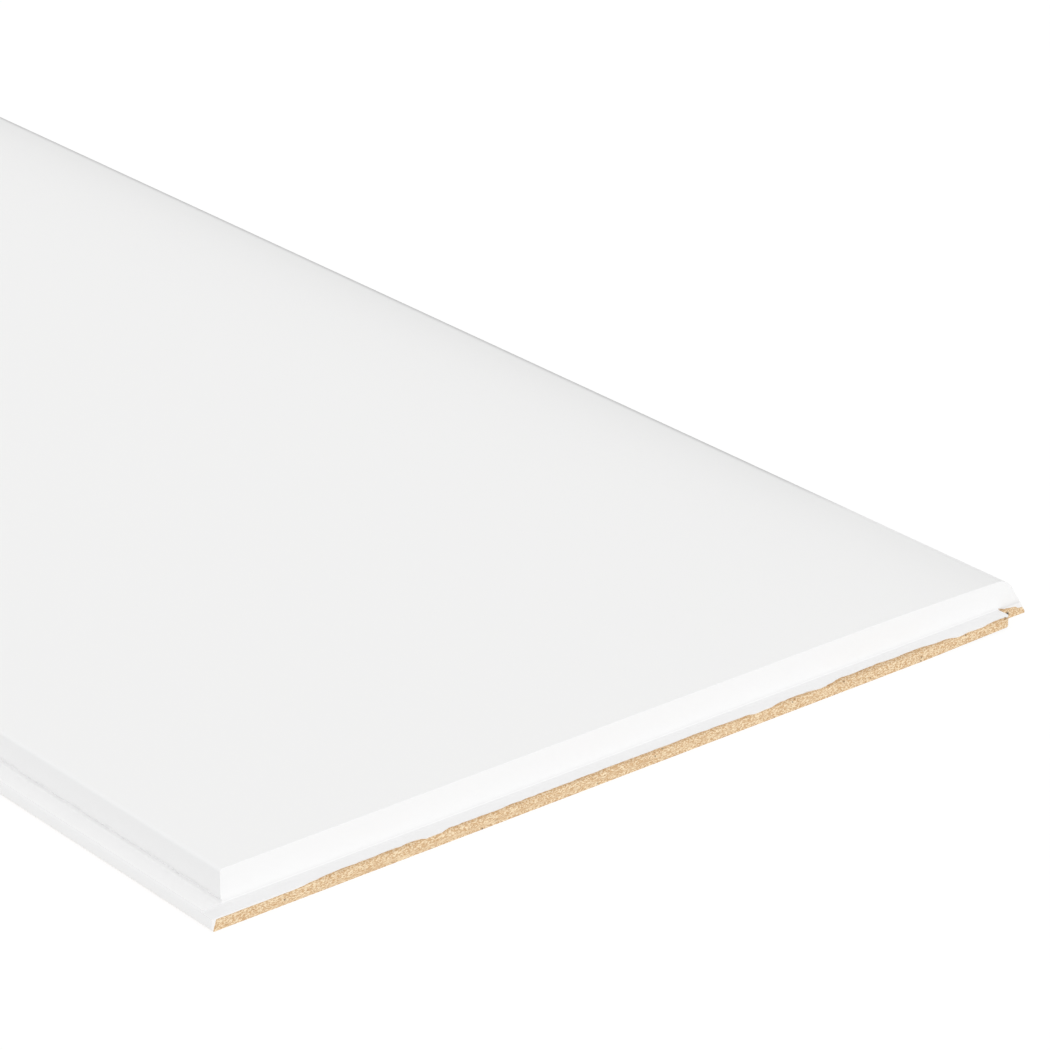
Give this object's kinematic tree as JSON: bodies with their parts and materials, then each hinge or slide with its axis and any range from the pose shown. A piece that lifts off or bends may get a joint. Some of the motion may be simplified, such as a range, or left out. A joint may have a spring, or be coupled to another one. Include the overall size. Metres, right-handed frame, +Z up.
{
  "type": "wall panel",
  "caption": "Flat white-coated fibreboard wall panel with a thin lip along one long edge and one end, and an eased, bevelled edge on the other long side.",
  "frame": {"origin": "middle of the panel's underside, on the surface it lies on", "axes": "+X across the panel towards its bevelled long edge, +Y along the panel towards its square end, +Z up out of the white face"},
  "size_m": [0.2114, 1.3036, 0.01],
  "materials": {
    "coated_board": "smooth satin white coat over fibreboard, raw at the cut ends and on the back"
  },
  "bodies": {
    "root": {"wall_panel": "coated_board"}
  },
  "joints": []
}
